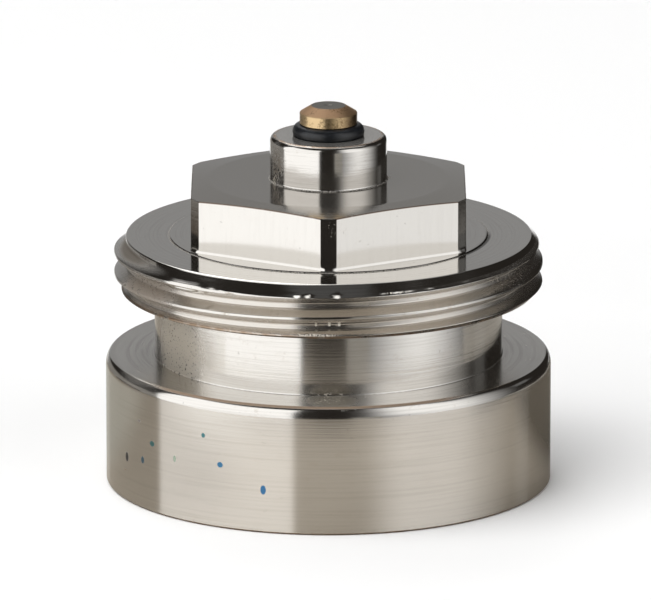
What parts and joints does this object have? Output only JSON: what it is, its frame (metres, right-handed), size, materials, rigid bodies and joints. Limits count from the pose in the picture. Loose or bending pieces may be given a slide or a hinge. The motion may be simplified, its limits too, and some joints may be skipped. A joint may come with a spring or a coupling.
{
  "type": "radiator thermostat adapter",
  "caption": "Turned brass adapter with a skirt threaded inside for a radiator valve, a threaded flange and hexagon for the head, and a push pin hung on an O-ring.",
  "frame": {"origin": "centre of the skirt's foot, which is the bottom of the bounding box", "axes": "+Z along the common axis of the threads, the hexagon and the pin, from the valve side to the head side; one corner of the hexagon points along -Y"},
  "size_m": [0.031, 0.031, 0.0266],
  "materials": {
    "nickel_plated_brass": "turned brass, nickel plated, bright",
    "pin_brass": "turned, bare",
    "ring_rubber": "moulded, oiled"
  },
  "bodies": {
    "adapter": {"adapter_body": "nickel_plated_brass"},
    "pin": {"push_pin": "pin_brass", "pin_o_ring": "ring_rubber"}
  },
  "joints": [
    {"name": "pin_slide", "type": "slide", "parent": "adapter", "child": "pin", "axis": [0, 0, 1], "range_m": [0, 0.004]}
  ]
}
